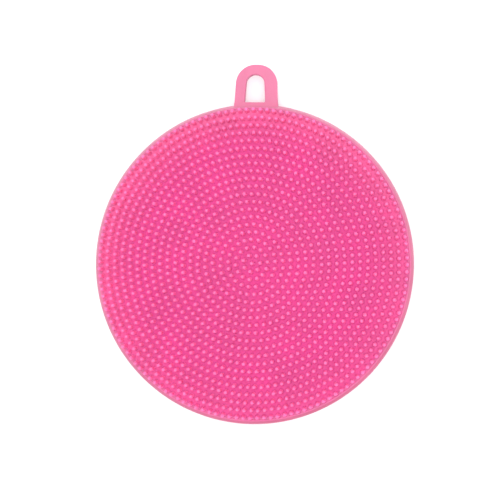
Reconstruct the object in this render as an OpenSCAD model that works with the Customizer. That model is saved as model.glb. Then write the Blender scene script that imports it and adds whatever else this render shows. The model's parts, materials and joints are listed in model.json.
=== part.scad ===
// Double-sided round silicone scrubbing pad with a hang loop.
// The pad lies flat: +Z is the front face's normal, +Y points to the hang loop, and the origin is
// the centre of the disc, half way through its thickness.

/* [Pad] */
// Diameter over the rim
pad_d = 115; // [90:0.5:130]
// Thickness of the web that carries both bristle fields
web_t = 2; // [1.4:0.1:3]
// Thickness of the moulded skin that the bristles stand on
skin_t = 0.5; // [0.3:0.05:0.6]
// Thickness of the rim bead
rim_t = 2.6; // [2:0.1:4]
// Radial width of the rim bead
rim_w = 1.6; // [1.4:0.1:2]

/* [Bristles] */
// Number of concentric rings on each face, around one bristle at the centre
ring_count = 20; // [4:1:20]
// Bristles in the first ring; ring n has n times as many
ring_step = 7; // [5:1:7]
// Radius of the first ring
first_ring_r = 2.98; // [2.2:0.02:3.2]
// Distance from the last ring's bristle axes to the outside of the rim
rim_margin = 2.55; // [2.4:0.05:4]
// Turn of the whole bristle pattern about the pad's centre, in degrees
pattern_turn = 5.8; // [0:0.1:51]
// Height of a bristle above the web
bristle_h = 4.4; // [2:0.1:6]
// Diameter at the root of a bristle
bristle_root_d = 1.3; // [1:0.05:1.5]
// Diameter where the tip starts to round off
bristle_neck_d = 0.96; // [0.7:0.02:1]
// Diameter of the flat on the end of a bristle
bristle_tip_d = 0.44; // [0.3:0.02:0.6]
// Height of the rounded-off tip
tip_h = 0.35; // [0.2:0.05:0.6]

/* [Hang loop] */
// Thickness of the loop
loop_t = 2.6; // [2:0.1:3.4]
// How far the loop stands out from the rim
loop_reach = 14.2; // [13:0.1:16]
// Width of the loop at its root
loop_w = 15.6; // [15.4:0.1:20]
// Radius of the loop's two outer shoulders
loop_corner_r = 7; // [4:0.1:7]
// Inward lean of each leg's outer side, in degrees
leg_lean = 2.5; // [0:0.5:3]
// Thickness of the band over the opening
loop_band = 3.6; // [3:0.05:5]
// Radius of the arch at the top of the opening
opening_r = 3.25; // [2.2:0.05:3.25]
// Inward lean of each side of the opening, in degrees
opening_lean = 3.6; // [0:0.1:6]
// Offset of the opening from the loop's centre line
opening_shift = -0.4; // [-0.6:0.05:0.6]
// Height of the sill that joins the legs under the opening
sill_h = 0.3; // [0.3:0.1:1]
// Clearance between the loop's rounded root and the rim
root_gap = 0.3; // [0.2:0.05:0.6]

/* [Hidden] */
pad_r = pad_d / 2;
field_r = pad_r - rim_w;
core_t = web_t - 2 * skin_t;
ring_pitch = (pad_r - rim_margin - first_ring_r) / (ring_count - 1);
foot_y = pad_r + root_gap;
root_y = foot_y + loop_t / 2;
loop_top_y = pad_r + loop_reach;
arch_y = loop_top_y - loop_band - opening_r;
corner_y = loop_top_y - loop_corner_r;
// Half the distance between the centres of the two shoulders
corner_x = loop_w / 2 - lean_half_w(loop_corner_r, corner_y, foot_y, leg_lean);
sill_y = foot_y + sill_h;
cut_margin = 1;
round_fn = 96;
bristle_fn = 24;

// Ring 0 is the single bristle at the centre
function ring_name(side, n) =
    n == 0 ? str(side, "_centre_bristle") : str(side, "_bristle_ring_", n < 10 ? "0" : "", n);
function ring_names(side) = [for (n = [0:ring_count]) ring_name(side, n)];
function ring_r(n) = n == 0 ? 0 : first_ring_r + (n - 1) * ring_pitch;
function bristles_in(n) = n == 0 ? 1 : ring_step * n;
// Radius where ring n's skin meets the next ring's skin, or the rim
function skin_r(n) = n == ring_count ? field_r : (ring_r(n) + ring_r(n + 1)) / 2;
// Half width at low_y of a shape whose side leans in by a and runs into an arc of radius r centred at y
function lean_half_w(r, y, low_y, a) = r * cos(a) + (y + r * sin(a) - low_y) * tan(a);

// Core of the web, between the two skins
module web() {
    color("#ee3d86")
        cylinder(h = core_t, r = field_r, center = true, $fn = round_fn);
}

// Round-edged bead that stiffens the edge of the disc
module rim() {
    color("#fb86b2")
        rotate_extrude($fn = round_fn)
            difference() {
                union() {
                    translate([pad_r - rim_t / 2, 0])
                        circle(d = rim_t, $fn = bristle_fn * 2);
                    translate([field_r - cut_margin, -rim_t / 2])
                        square([rim_w - rim_t / 2 + cut_margin, rim_t]);
                }
                translate([field_r - rim_t, -rim_t])
                    square([rim_t, 2 * rim_t]);
            }
}

// One tapered bristle with its tip rounded off, root at z = 0
module bristle() {
    shaft_h = bristle_h - tip_h;
    cylinder(h = shaft_h, d1 = bristle_root_d, d2 = bristle_neck_d, $fn = bristle_fn);
    translate([0, 0, shaft_h])
        cylinder(h = tip_h, d1 = bristle_neck_d, d2 = bristle_tip_d, $fn = bristle_fn);
}

// Ring-shaped stretch of skin under the bristles of ring n; the one at the centre is a whole disc
module ring_skin(n) {
    difference() {
        cylinder(h = skin_t, r = skin_r(n), $fn = round_fn);
        if (n > 0)
            translate([0, 0, -cut_margin])
                cylinder(h = skin_t + 2 * cut_margin, r = skin_r(n - 1), $fn = round_fn);
    }
}

// Ring n of bristles on its skin, standing on the core's front face
module bristle_ring(n) {
    translate([0, 0, core_t / 2]) {
        ring_skin(n);
        for (i = [0:bristles_in(n) - 1])
            rotate([0, 0, pattern_turn + i * 360 / bristles_in(n)])
                translate([ring_r(n), 0, skin_t])
                    bristle();
    }
}

module front_bristle_ring(n) {
    color("#f9509a")
        bristle_ring(n);
}

module back_bristle_ring(n) {
    color("#f9509a")
        mirror([0, 0, 1])
            bristle_ring(n);
}

// Flat outline of the loop, from its foot to the top of its arch
module loop_outline() {
    shoulder_x = corner_x + loop_corner_r * cos(leg_lean);
    shoulder_y = corner_y + loop_corner_r * sin(leg_lean);
    polygon([
        [-loop_w / 2, foot_y],
        [loop_w / 2, foot_y],
        [shoulder_x, shoulder_y],
        [corner_x, loop_top_y],
        [-corner_x, loop_top_y],
        [-shoulder_x, shoulder_y]
    ]);
    for (side = [-1, 1])
        translate([side * corner_x, corner_y])
            circle(r = loop_corner_r, $fn = round_fn);
}

// Flat outline of the opening, from its straight sill to the top of its arch
module opening_outline() {
    spring_x = opening_r * cos(opening_lean);
    spring_y = arch_y + opening_r * sin(opening_lean);
    low_x = lean_half_w(opening_r, arch_y, sill_y, opening_lean);
    translate([opening_shift, 0]) {
        polygon([
            [-low_x, sill_y],
            [low_x, sill_y],
            [spring_x, spring_y],
            [-spring_x, spring_y]
        ]);
        translate([0, arch_y])
            circle(r = opening_r, $fn = round_fn);
    }
}

// The loop seen from its side: flat, with the end that it flexes about rounded
module loop_side_profile() {
    translate([root_y, 0])
        circle(d = loop_t, $fn = bristle_fn * 2);
    translate([root_y, -loop_t / 2])
        square([loop_top_y - root_y + cut_margin, loop_t]);
}

// Arch-shaped loop with an opening for a hook or a peg
module hang_loop() {
    color("#fb86b2")
        intersection() {
            linear_extrude(height = 2 * loop_t, center = true)
                difference() {
                    loop_outline();
                    opening_outline();
                }
            rotate([90, 0, 90])
                linear_extrude(height = 2 * loop_w, center = true)
                    loop_side_profile();
        }
}

web();
rim();
hang_loop();
for (n = [0:ring_count]) {
    front_bristle_ring(n);
    back_bristle_ring(n);
}
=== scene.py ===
import json
import math

import bpy
import numpy as np
from mathutils import Matrix, Vector, noise


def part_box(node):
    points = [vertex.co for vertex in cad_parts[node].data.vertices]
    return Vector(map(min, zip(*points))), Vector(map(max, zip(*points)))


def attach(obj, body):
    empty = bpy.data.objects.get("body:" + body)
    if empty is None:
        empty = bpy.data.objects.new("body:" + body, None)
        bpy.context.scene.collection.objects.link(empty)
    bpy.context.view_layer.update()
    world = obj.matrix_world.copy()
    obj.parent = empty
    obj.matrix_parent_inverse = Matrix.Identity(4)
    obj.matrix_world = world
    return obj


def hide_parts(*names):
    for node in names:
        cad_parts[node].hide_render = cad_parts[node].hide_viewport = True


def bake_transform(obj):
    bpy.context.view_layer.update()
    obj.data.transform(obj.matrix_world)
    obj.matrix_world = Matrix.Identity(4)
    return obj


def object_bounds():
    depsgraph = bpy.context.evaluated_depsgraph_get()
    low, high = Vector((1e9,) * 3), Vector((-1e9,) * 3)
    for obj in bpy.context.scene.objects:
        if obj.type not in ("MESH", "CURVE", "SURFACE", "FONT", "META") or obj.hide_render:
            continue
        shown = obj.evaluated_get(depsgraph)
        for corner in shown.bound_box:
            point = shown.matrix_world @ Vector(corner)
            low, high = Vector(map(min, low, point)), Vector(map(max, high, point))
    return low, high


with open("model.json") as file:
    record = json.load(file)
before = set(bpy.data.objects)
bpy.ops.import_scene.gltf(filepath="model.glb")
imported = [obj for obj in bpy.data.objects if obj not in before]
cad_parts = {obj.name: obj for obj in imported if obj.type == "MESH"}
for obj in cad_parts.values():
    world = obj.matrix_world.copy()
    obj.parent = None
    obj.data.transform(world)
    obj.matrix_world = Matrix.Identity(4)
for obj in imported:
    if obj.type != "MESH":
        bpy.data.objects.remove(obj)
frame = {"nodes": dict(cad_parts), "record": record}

MM = 0.001
QUARTER_TURN = math.radians(90)
CAD_LOW, CAD_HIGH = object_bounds()

# ---- Sizes taken from the frame -------------------------------------------------------------
MOUNTS = {mount["name"]: mount for mount in frame["record"]["mounts"]}
TIP_Z = MOUNTS["scrub_face"]["pos_m"][2]
PAD_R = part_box("rim")[1].x
RIM_HALF_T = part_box("rim")[1].z
LOOP_LOW, LOOP_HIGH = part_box("hang_loop")
ARCH_CENTRE = Vector(MOUNTS["hang_hole"]["pos_m"]).xy
ARCH_R = MOUNTS["hang_hole"]["dims"]["r_mm"] * MM

# ---- Sizes of the moulding that the frame doesn't give --------------------------------------
RING_STEP = 7                 # bristles in the first ring; ring n has n times as many
WEB_HALF_T = 1.0 * MM
RIM_W = 1.6 * MM
FIELD_R = PAD_R - RIM_W       # the bristles' skin ends and the rim starts here
BRISTLE_H = TIP_Z - WEB_HALF_T


def ring_nodes(side):
    """The CAD nodes of one face's bristles: the centre one, then ring 1, ring 2 and so on outwards."""
    rings = [name for name in frame["nodes"] if name.startswith(side + "_bristle_ring_")]
    return [side + "_centre_bristle"] + sorted(rings)


def ring_tips(number):
    """Radius and turn of a ring of bristles, measured on the flat tips of its CAD node."""
    mesh = frame["nodes"][ring_nodes("front")[number]].data
    points = np.empty(len(mesh.vertices) * 3)
    mesh.vertices.foreach_get("co", points)
    points = points.reshape(-1, 3)
    tips = points[points[:, 2] > TIP_Z - 0.05 * MM]
    angles = np.arctan2(tips[:, 1], tips[:, 0])
    count = RING_STEP * number
    turn = np.angle(np.exp(1j * count * angles).mean()) / count
    return np.hypot(tips[:, 0], tips[:, 1]).mean(), turn


RING_COUNT = len(ring_nodes("front")) - 1
FIRST_RING_R, PATTERN_TURN = ring_tips(1)
RING_PITCH = (ring_tips(RING_COUNT)[0] - FIRST_RING_R) / (RING_COUNT - 1)


def ring_radius(number):
    return FIRST_RING_R + (number - 1) * RING_PITCH if number else 0.0


# ---- Mesh helpers ---------------------------------------------------------------------------
FILLET_STEPS = 4              # straight stretches in a fillet's quarter circle


def make_piece(name, verts, faces, material, body, nodes):
    """A smooth-shaded mesh object that stands for CAD nodes. It rides on the body, if one is given."""
    mesh = bpy.data.meshes.new(name)
    mesh.from_pydata(np.asarray(verts).tolist(), [], faces)
    mesh.polygons.foreach_set("use_smooth", [True] * len(mesh.polygons))
    mesh.materials.append(material)
    mesh.update()
    piece = bpy.data.objects.new(name, mesh)
    bpy.context.collection.objects.link(piece)
    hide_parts(*nodes)
    if body:
        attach(piece, body)
    return piece


def circle_points(radius, count):
    """Points (x, y) evenly spaced round a circle."""
    angles = [2 * math.pi * k / count for k in range(count)]
    return [(radius * math.cos(angle), radius * math.sin(angle)) for angle in angles]


def grid_faces(rows, columns, closed_rows=False, first=0, flip=False):
    """Quads over a grid of vertices stored row by row. Each row is a closed ring of vertices, and
    with closed_rows the last row joins the first one too."""
    faces = []
    for row in range(rows if closed_rows else rows - 1):
        here = first + row * columns
        there = first + (row + 1) % rows * columns
        for column in range(columns):
            a, b = here + column, here + (column + 1) % columns
            d, e = there + column, there + (column + 1) % columns
            faces.append((a, d, e, b) if flip else (a, b, e, d))
    return faces


def fan_faces(first, count, centre, flip=False):
    """Triangles from a closed ring of vertices to the one vertex at its centre."""
    faces = []
    for k in range(count):
        a, b = first + k, first + (k + 1) % count
        faces.append((b, a, centre) if flip else (a, b, centre))
    return faces


# ---- Node helpers ---------------------------------------------------------------------------
def new_material(name):
    """A new material, with its node tree and its shader."""
    material = bpy.data.materials.new(name)
    material.use_nodes = True
    tree = material.node_tree
    return material, tree, tree.nodes["Principled BSDF"]


def set_sockets(node, settings):
    for socket, value in settings.items():
        node.inputs[socket].default_value = value


def calculate(tree, operation, first, second=None):
    """The result of a maths node. Each of its inputs is a number or the output of another node."""
    node = tree.nodes.new("ShaderNodeMath")
    node.operation = operation
    for socket, value in zip(node.inputs, (first, second)):
        if isinstance(value, float):
            socket.default_value = value
        elif value is not None:
            tree.links.new(value, socket)
    return node.outputs["Value"]


def rescale(tree, value, low, high, low_result=0.0, high_result=1.0):
    """Carries low to high over to low_result to high_result, and goes no further than those two."""
    node = tree.nodes.new("ShaderNodeMapRange")
    for socket, number in zip(list(node.inputs)[1:5], (low, high, low_result, high_result)):
        socket.default_value = number
    tree.links.new(value, node.inputs["Value"])
    return node.outputs["Result"]


def noise_pattern(tree, where, scale, detail):
    node = tree.nodes.new("ShaderNodeTexNoise")
    set_sockets(node, {"Scale": scale, "Detail": detail})
    tree.links.new(where, node.inputs["Vector"])
    return node.outputs["Fac"]


def colour_along(tree, place, stops):
    """The colour at a place, by the stops, which are (place, colour) in rising order."""
    node = tree.nodes.new("ShaderNodeValToRGB")
    node.color_ramp.interpolation = "EASE"
    (first, first_colour), *between, (last, last_colour) = stops
    elements = node.color_ramp.elements
    elements[0].color = (*first_colour, 1.0)
    elements[1].color = (*last_colour, 1.0)
    for stop, colour in between:
        elements.new((stop - first) / (last - first)).color = (*colour, 1.0)
    tree.links.new(rescale(tree, place, first, last), node.inputs["Fac"])
    return node.outputs["Color"]


# ---- Materials ------------------------------------------------------------------------------
# The web's own pink painted deeper: painted shade in the gaps between the bristles.
PINK_WEB_WITH_PAINTED_SHADE = (0.65, 0.056, 0.290)
# The flanks and necks are painted paler than the tip: painted light on the bristles' shaded sides.
PINK_FLANK_WITH_PAINTED_LIGHT = (0.89, 0.147, 0.420)
PINK_NECK_WITH_PAINTED_LIGHT = (0.87, 0.158, 0.460)
PINK_TIP = (0.83, 0.126, 0.303)
# Painted light: the paler pink that the bristles and web turn into towards the edge and the loop's side.
PINK_PAINTED_GLOW = (0.80, 0.146, 0.345)
PINK_GROOVE = (0.61, 0.150, 0.322)
# The rim's own pink painted darker: painted shade on the side away from the loop.
PINK_RIM_WITH_PAINTED_SHADE = (0.42, 0.058, 0.145)
# The rim's painted light, on the side towards the loop.
PINK_RIM_PAINTED_GLOW = (0.51, 0.208, 0.292)
PINK_LOOP = (0.54, 0.147, 0.257)

SILICONE_SHADER = {
    "IOR": 1.41,
    "Specular IOR Level": 0.40,
    "Subsurface Weight": 0.30,
    "Subsurface Radius": (1.0, 0.60, 0.80),
    "Subsurface Scale": 1.5 * MM,
    "Sheen Weight": 0.05,
    "Sheen Roughness": 0.45,
}

# The glow is painted light: the paler pink towards the pad's edge, where light comes through the thin
# rim.
GLOW_START_R = PAD_R - 20 * MM
GLOW_FULL_R = PAD_R - 0.5 * MM
GLOW_SLANT = 0.4              # it is strongest towards the loop and, by this much, to the loop's left
GLOW_REACH = 1.1 * PAD_R      # it is weakest this far down the pad, and strongest this far up
GLOW_WEAK, GLOW_STRONG = 0.25, 1.2

CLOUDS_PER_M = 90.0
GRAINS_PER_M = 2600.0


def painted_light_by_side(tree, x, y):
    """How strong the painted glow is, between the pad's side away from the loop and the side with the
    loop, where the painted light is strongest.
    """
    towards_loop = calculate(tree, "SUBTRACT", y, calculate(tree, "MULTIPLY", x, GLOW_SLANT))
    return rescale(tree, towards_loop, -GLOW_REACH, GLOW_REACH, GLOW_WEAK, GLOW_STRONG)


def silicone(name, stops, painted_glow_colour, by_radius=False):
    """Moulded silicone with faint clouding, uneven gloss and a fine moulded grain. Each of the stops
    is (height above the middle plane, colour), or with by_radius (distance from the pad's centre,
    colour). Outwards, and most of all on the loop's side, the colour turns into the painted glow colour
    it is given."""
    material, tree, shader = new_material(name)
    set_sockets(shader, SILICONE_SHADER)
    where = tree.nodes.new("ShaderNodeTexCoord").outputs["Object"]
    split = tree.nodes.new("ShaderNodeSeparateXYZ")
    tree.links.new(where, split.inputs["Vector"])
    x, y, z = split.outputs["X"], split.outputs["Y"], split.outputs["Z"]
    squares = calculate(tree, "ADD", calculate(tree, "MULTIPLY", x, x), calculate(tree, "MULTIPLY", y, y))
    radius = calculate(tree, "SQRT", squares)

    if by_radius:
        colour = colour_along(tree, radius, stops)
        outwards = rescale(tree, radius, stops[0][0], stops[-1][0])
    else:
        colour = colour_along(tree, calculate(tree, "ABSOLUTE", z), stops)
        outwards = calculate(tree, "POWER", rescale(tree, radius, GLOW_START_R, GLOW_FULL_R), 2.0)
    glow = tree.nodes.new("ShaderNodeMix")
    glow.data_type = "RGBA"
    tree.links.new(calculate(tree, "MULTIPLY", outwards, painted_light_by_side(tree, x, y)), glow.inputs["Factor"])
    tree.links.new(colour, glow.inputs["A"])
    glow.inputs["B"].default_value = (*painted_glow_colour, 1.0)

    clouds = noise_pattern(tree, where, CLOUDS_PER_M, detail=4.0)
    tone = tree.nodes.new("ShaderNodeHueSaturation")
    tree.links.new(glow.outputs["Result"], tone.inputs["Color"])
    tree.links.new(rescale(tree, clouds, 0.3, 0.7, 0.94, 1.05), tone.inputs["Value"])
    tree.links.new(tone.outputs["Color"], shader.inputs["Base Color"])
    tree.links.new(rescale(tree, clouds, 0.3, 0.7, 0.42, 0.58), shader.inputs["Roughness"])

    relief = tree.nodes.new("ShaderNodeBump")
    set_sockets(relief, {"Strength": 0.12, "Distance": 0.08 * MM})
    tree.links.new(noise_pattern(tree, where, GRAINS_PER_M, detail=3.0), relief.inputs["Height"])
    tree.links.new(relief.outputs["Normal"], shader.inputs["Normal"])
    return material


def bristle_silicone():
    """Deep pink down at the web, painted shade between the bristles, and lighter from just above it up to
    the tip, painted light on the shaded flanks.
    """
    return silicone("bristle_silicone", [
        (WEB_HALF_T - 0.05 * MM, PINK_WEB_WITH_PAINTED_SHADE),
        (WEB_HALF_T + 0.18 * MM, PINK_FLANK_WITH_PAINTED_LIGHT),
        (TIP_Z - 1.00 * MM, PINK_FLANK_WITH_PAINTED_LIGHT),
        (TIP_Z - 0.45 * MM, PINK_NECK_WITH_PAINTED_LIGHT),
        (TIP_Z - 0.12 * MM, PINK_TIP),
        (TIP_Z, PINK_TIP)], PINK_PAINTED_GLOW)


def web_silicone():
    # An even deep pink: the web's own pink darkened as painted shade between the bristles.
    return silicone("web_silicone", [(0.0, PINK_WEB_WITH_PAINTED_SHADE), (WEB_HALF_T, PINK_WEB_WITH_PAINTED_SHADE)], PINK_PAINTED_GLOW)


def rim_silicone():
    """Lighter in the groove beside the last ring of bristles than on the rim itself. The rim has painted
    shade away from the loop and painted light towards it.
    """
    return silicone("rim_silicone", [
        (FIELD_R + 0.1 * MM, PINK_GROOVE),
        (FIELD_R + 0.9 * MM, PINK_RIM_WITH_PAINTED_SHADE)], PINK_RIM_PAINTED_GLOW, by_radius=True)


def loop_silicone():
    return silicone("loop_silicone", [(0.0, PINK_LOOP), (LOOP_HIGH.z, PINK_LOOP)], PINK_LOOP)


def floor_material():
    """Plain white studio floor, with only a trace of unevenness."""
    material, tree, shader = new_material("studio_floor")
    set_sockets(shader, {"Specular IOR Level": 0.1, "Roughness": 0.9})
    cloud = tree.nodes.new("ShaderNodeTexNoise")
    cloud.inputs["Scale"].default_value = 3.0
    ramp = tree.nodes.new("ShaderNodeValToRGB")
    for element, grey in zip(ramp.color_ramp.elements, (0.93, 0.95)):
        element.color = (grey, grey, grey, 1.0)
    tree.links.new(cloud.outputs["Fac"], ramp.inputs["Fac"])
    tree.links.new(ramp.outputs["Color"], shader.inputs["Base Color"])
    return material


# ---- Bristles -------------------------------------------------------------------------------
ROOT_R = 0.65 * MM            # a bristle's radius just above its root fillet
NECK_R = 0.57 * MM            # and where its round tip begins
TIP_DOME_H = 0.42 * MM
ROOT_FILLET = 0.38 * MM
FOOT_SINK = 0.08 * MM         # how far a bristle's closed foot goes down into the web
LEAN_SPREAD = 0.10 * MM       # how far a tip strays from straight over its root
LEAN_BEND = 1.6               # above 1, a leaning bristle bends more towards its tip
LENGTH_SPREAD = 0.10 * MM
BRISTLE_SIDES = 16
SHAFT_SHARES = (0.0, 0.33, 0.67)
DOME_STEPS = 6


def bristle_profile():
    """Radii, and heights above the web, from the foot in the web to the last ring below the tip."""
    points = [(ROOT_R + ROOT_FILLET, -FOOT_SINK)]
    for step in range(FILLET_STEPS):
        angle = QUARTER_TURN * step / FILLET_STEPS
        points.append((ROOT_R + ROOT_FILLET * (1 - math.sin(angle)), ROOT_FILLET * (1 - math.cos(angle))))
    neck_z = BRISTLE_H - TIP_DOME_H
    for share in SHAFT_SHARES:
        points.append((ROOT_R + (NECK_R - ROOT_R) * share, ROOT_FILLET + (neck_z - ROOT_FILLET) * share))
    for step in range(DOME_STEPS):
        angle = QUARTER_TURN * step / DOME_STEPS
        points.append((NECK_R * math.cos(angle), neck_z + TIP_DOME_H * math.sin(angle)))
    return np.array(points).T


def bristle_verts(number, side):
    """Vertices of a ring's bristles, one bristle after another, each from its foot to its tip."""
    random = np.random.default_rng(1000 * (side + 2) + number)
    count = RING_STEP * number or 1
    angles = PATTERN_TURN + np.arange(count) * 2 * math.pi / count
    roots = ring_radius(number) * np.column_stack([np.cos(angles), np.sin(angles)])
    leans = random.normal(0.0, LEAN_SPREAD, (count, 2)).clip(-2 * LEAN_SPREAD, 2 * LEAN_SPREAD)
    shorter = random.uniform(0.0, LENGTH_SPREAD, count)

    radii, heights = bristle_profile()
    circle = np.array(circle_points(1.0, BRISTLE_SIDES))
    strays = (heights.clip(0.0) / BRISTLE_H) ** LEAN_BEND
    centres = roots[:, None, :] + leans[:, None, :] * strays[:, None]
    shell = np.empty((count, len(radii), BRISTLE_SIDES, 3))
    shell[..., :2] = centres[:, :, None, :] + radii[:, None, None] * circle
    shell[..., 2] = (WEB_HALF_T + heights * (1 - shorter[:, None] / BRISTLE_H))[:, :, None]
    tips = np.column_stack([roots + leans, TIP_Z - shorter])
    verts = np.concatenate([shell.reshape(count, -1, 3), tips[:, None, :]], axis=1).reshape(-1, 3)
    verts[:, 2] *= side
    return verts


def bristle_faces(rows, flip):
    """Faces of one bristle: its wall, its foot, and the triangles that close its tip."""
    faces = grid_faces(rows, BRISTLE_SIDES, flip=flip)
    foot = tuple(range(BRISTLE_SIDES))
    faces.append(foot if flip else foot[::-1])
    faces += fan_faces((rows - 1) * BRISTLE_SIDES, BRISTLE_SIDES, rows * BRISTLE_SIDES, flip=flip)
    return faces


def bristle_ring(name, number, side, node, material):
    """A ring of round-tipped bristles with root fillets, on the front (side 1) or the back (-1)."""
    verts = bristle_verts(number, side)
    rows = len(bristle_profile()[0])
    one = bristle_faces(rows, flip=side < 0)
    starts = range(0, len(verts), rows * BRISTLE_SIDES + 1)
    faces = [tuple(start + corner for corner in face) for start in starts for face in one]
    return make_piece(name, verts, faces, material, "pad", [node])


# ---- Web ------------------------------------------------------------------------------------
WEB_OVERLAP = 0.3 * MM        # how far the web's edge reaches into the rim
WEB_SWELL = 0.015 * MM        # the web's faces are uneven by this much
SWELLS_PER_M = 70
FACES_APART = 5.0             # in the noise, so that the two faces swell differently
WEB_RINGS = 64
WEB_SECTORS = 192


def web_disc(material):
    """The disc between the two bristle fields, very slightly uneven, as soft moulded sheet is."""
    radius = FIELD_R + WEB_OVERLAP
    verts, faces = [], []
    for side in (1, -1):
        first = len(verts)
        for ring in range(1, WEB_RINGS + 1):
            for x, y in circle_points(radius * ring / WEB_RINGS, WEB_SECTORS):
                swell = noise.noise(Vector((x * SWELLS_PER_M, y * SWELLS_PER_M, side * FACES_APART)))
                verts.append((x, y, side * (WEB_HALF_T - WEB_SWELL + WEB_SWELL * swell)))
        verts.append((0.0, 0.0, side * (WEB_HALF_T - WEB_SWELL)))
        faces += grid_faces(WEB_RINGS, WEB_SECTORS, first=first, flip=side > 0)
        faces += fan_faces(first, WEB_SECTORS, len(verts) - 1, flip=side < 0)
    below = len(verts) // 2
    edge = (WEB_RINGS - 1) * WEB_SECTORS
    for sector in range(WEB_SECTORS):
        a, b = edge + sector, edge + (sector + 1) % WEB_SECTORS
        faces.append((a, below + a, below + b, b))
    return make_piece("web_disc", verts, faces, material, "pad", ["web"])


# ---- Rim ------------------------------------------------------------------------------------
RIM_FILLET = 0.80 * MM        # width of the hollow curve from the web's face up to the rim's top
RIM_WALL_ROW = 0.25 * MM      # the hidden inner wall has a row of points this far from its two ends
SEAM_H = 0.04 * MM            # height of the line that the two halves of the mould leave
SEAM_HALF_ANGLE = math.radians(9)
RIM_STEPS = 14
RIM_SECTORS = 384


def rim_section():
    """(radius, height) round the rim's section: from its inner wall over the top, and back below."""
    wall_r = FIELD_R - RIM_FILLET
    section = [(wall_r, WEB_HALF_T - RIM_WALL_ROW), (wall_r, WEB_HALF_T)]
    for step in range(1, FILLET_STEPS + 1):
        angle = QUARTER_TURN * step / FILLET_STEPS
        rise = (RIM_HALF_T - WEB_HALF_T) * (1 - math.cos(angle))
        section.append((wall_r + RIM_FILLET * math.sin(angle), WEB_HALF_T + rise))
    centre_r = PAD_R - SEAM_H - RIM_HALF_T
    for step in range(RIM_STEPS + 1):
        angle = QUARTER_TURN * (1 - step / RIM_STEPS)
        seam = SEAM_H * max(0.0, 1 - angle / SEAM_HALF_ANGLE)
        section.append((centre_r + (RIM_HALF_T + seam) * math.cos(angle), RIM_HALF_T * math.sin(angle)))
    return section + [(r, -z) for r, z in reversed(section[:-1])]


def rim_bead(material):
    """Round-edged rim with the fine line of the mould round it."""
    section = rim_section()
    verts = [(x, y, z) for r, z in section for x, y in circle_points(r, RIM_SECTORS)]
    faces = grid_faces(len(section), RIM_SECTORS, closed_rows=True, flip=True)
    return make_piece("rim_bead", verts, faces, material, "pad", ["rim"])


# ---- Hang loop ------------------------------------------------------------------------------
SHOULDER_R = 7.0 * MM
LEG_LEAN = math.radians(2.5)
OPENING_LEAN = math.radians(3.6)
SILL_Y = LOOP_LOW.y + 0.3 * MM
SUNK_Y = PAD_R - RIM_HALF_T   # the legs run on into the rim down to here
LOOP_EDGE_R = 0.45 * MM
FLARE = 0.12 * MM             # how far each leg widens where it runs into the rim
FLARE_H = 0.50 * MM
OPENING_CORNER = 0.35 * MM    # size of the rounding in the opening's bottom corners

LEG_STEPS = 24
ROOT_CROWDING = 1.4           # above 1, the steps up a leg are shorter near its root, which bends
SHOULDER_STEPS = 18
TOP_STEPS = 4
TOP_TURN = math.radians(4)    # the top stretch of an outline reaches this far down both its shoulders
BOTTOM_STEPS = 16
EDGE_STEPS = 5
FACE_SHARE = 0.88             # share of a flat face between the two rows that keep its shading flat
SIDE_SHARE = 0.8              # and the same on a narrow side


def leg_flare(y):
    """How far a leg's outer side stands out beyond its straight line."""
    return FLARE * math.exp(-max(y - PAD_R, 0.0) / FLARE_H)


def corner_flare(y):
    """The same for the opening's side. It is negative, as a rounded corner narrows the opening."""
    return -OPENING_CORNER * max(0.0, 1 - (y - SILL_Y) / OPENING_CORNER) ** 2


def arch_outline(centre, radius, half_flat, lean, low_y, flare):
    """A closed outline: up the left leg, over the arch, down the right leg and back along the bottom.
    half_flat is half the straight stretch at the top."""
    leg_top_y = centre.y + radius * math.sin(lean)

    def leg_x(y):
        return half_flat + radius * math.cos(lean) + (leg_top_y - y) * math.tan(lean) + flare(y)

    left = []
    for step in range(LEG_STEPS):
        y = low_y + (leg_top_y - low_y) * (step / LEG_STEPS) ** ROOT_CROWDING
        left.append((-leg_x(y), y))
    for step in range(SHOULDER_STEPS):
        angle = math.pi - lean - (QUARTER_TURN - lean - TOP_TURN) * step / SHOULDER_STEPS
        left.append((-half_flat + radius * math.cos(angle), centre.y + radius * math.sin(angle)))
    top = []
    for step in range(TOP_STEPS + 1):
        share = 2 * step / TOP_STEPS - 1
        turn = TOP_TURN * share
        top.append((half_flat * share + radius * math.sin(turn), centre.y + radius * math.cos(turn)))
    right = [(-x, y) for x, y in reversed(left)]
    low_x = leg_x(low_y)
    bottom = [(low_x * (1 - 2 * step / BOTTOM_STEPS), low_y) for step in range(1, BOTTOM_STEPS)]
    return [Vector((centre.x + x, y)) for x, y in left + top + right + bottom]


def rounded_rectangle(half_w, half_t, corner_r):
    """Points (across, up) round a rectangle with rounded corners, with two more on each flat."""
    flat_w, flat_t = half_w - corner_r, half_t - corner_r
    face_w, side_t = flat_w * FACE_SHARE, flat_t * SIDE_SHARE
    corners = [(flat_w, flat_t), (-flat_w, flat_t), (-flat_w, -flat_t), (flat_w, -flat_t)]
    flats = [
        [(face_w, half_t), (-face_w, half_t)],
        [(-half_w, side_t), (-half_w, -side_t)],
        [(-face_w, -half_t), (face_w, -half_t)],
        [(half_w, -side_t), (half_w, side_t)]]
    points = []
    for quarter, ((across, up), flat) in enumerate(zip(corners, flats)):
        for step in range(EDGE_STEPS + 1):
            angle = QUARTER_TURN * (quarter + step / EDGE_STEPS)
            points.append((across + corner_r * math.cos(angle), up + corner_r * math.sin(angle)))
        points += flat
    return points


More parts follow.
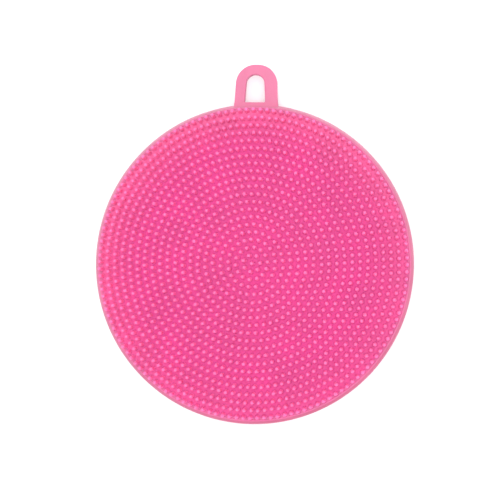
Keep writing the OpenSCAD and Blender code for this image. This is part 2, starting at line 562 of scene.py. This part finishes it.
def hang_loop(material):
    """The arch-shaped loop, run into the rim, with rounded edges; its legs flare a little at their root.
    """
    shoulder = Vector((0.0, LOOP_HIGH.y - SHOULDER_R))
    leg_run = shoulder.y + SHOULDER_R * math.sin(LEG_LEAN) - LOOP_LOW.y
    half_flat = LOOP_HIGH.x - SHOULDER_R * math.cos(LEG_LEAN) - leg_run * math.tan(LEG_LEAN)
    outer = arch_outline(shoulder, SHOULDER_R, half_flat, LEG_LEAN, SUNK_Y, leg_flare)
    inner = arch_outline(ARCH_CENTRE, ARCH_R, 0.0, OPENING_LEAN, SILL_Y, corner_flare)
    verts = []
    for outside, inside in zip(outer, inner):
        middle, band = (outside + inside) / 2, outside - inside
        for across, up in rounded_rectangle(band.length / 2, LOOP_HIGH.z, LOOP_EDGE_R):
            point = middle + band.normalized() * across
            verts.append((point.x, point.y, up))
    faces = grid_faces(len(outer), len(verts) // len(outer), closed_rows=True)
    piece = make_piece("hang_loop_skin", verts, faces, material, None, ["hang_loop"])
    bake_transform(piece)
    return piece


# ---- Stage: floor, light and camera ---------------------------------------------------------
FLOOR_HALF_W = 3.0


def add_floor():
    corners = [(-1, -1), (1, -1), (1, 1), (-1, 1)]
    verts = [(x * FLOOR_HALF_W, y * FLOOR_HALF_W, CAD_LOW.z) for x, y in corners]
    mesh = bpy.data.meshes.new("studio_floor")
    mesh.from_pydata(verts, [], [(0, 1, 2, 3)])
    mesh.materials.append(floor_material())
    floor = bpy.data.objects.new("studio_floor", mesh)
    bpy.context.collection.objects.link(floor)


def add_softbox(name, place, size, power):
    """A square soft light that looks at the pad's centre."""
    data = bpy.data.lights.new(name, "AREA")
    data.shape = "SQUARE"
    data.size = size
    data.energy = power
    light = bpy.data.objects.new(name, data)
    light.location = place
    light.rotation_mode = "QUATERNION"
    light.rotation_quaternion = (-Vector(place)).to_track_quat("-Z", "Y")
    bpy.context.collection.objects.link(light)


def add_lights():
    """Bright white light from all sides, and one softbox overhead."""
    add_softbox("overhead", place=(0.065, 0.04, 0.80), size=0.60, power=3.0)
    world = bpy.data.worlds.new("studio")
    world.use_nodes = True
    set_sockets(world.node_tree.nodes["Background"], {"Color": (1.0, 1.0, 1.0, 1.0), "Strength": 1.40})
    bpy.context.scene.world = world
    bpy.context.scene.view_settings.view_transform = "Standard"


def add_camera():
    """Looks down on the front face from 0.44 m, leaning a little to the right of square on."""
    distance = 0.440
    lean, lean_towards, roll = math.radians(6.5), math.radians(-15.0), math.radians(1.3)
    aim = Vector((-1.08 * MM, 4.86 * MM, 0.0))
    back = Vector((
        math.sin(lean) * math.cos(lean_towards),
        math.sin(lean) * math.sin(lean_towards),
        math.cos(lean)))
    up = Vector((-math.sin(roll), math.cos(roll), 0.0))
    right = up.cross(back).normalized()
    data = bpy.data.cameras.new("camera")
    data.sensor_width = 36.0
    data.lens = 88.1
    camera = bpy.data.objects.new("camera", data)
    axes = Matrix((right, back.cross(right), back)).transposed()
    camera.matrix_world = Matrix.Translation(aim + back * distance) @ axes.to_4x4()
    bpy.context.collection.objects.link(camera)
    bpy.context.scene.camera = camera


# ---- Build ----------------------------------------------------------------------------------
add_camera()
add_lights()
add_floor()
web_disc(web_silicone())
rim_bead(rim_silicone())
hang_loop(loop_silicone())
bristle_pink = bristle_silicone()
for side_name, side in (("front", 1), ("back", -1)):
    for number, node in enumerate(ring_nodes(side_name)):
        bristle_ring(f"{side_name}_bristles_{number:02d}", number, side, node, bristle_pink)
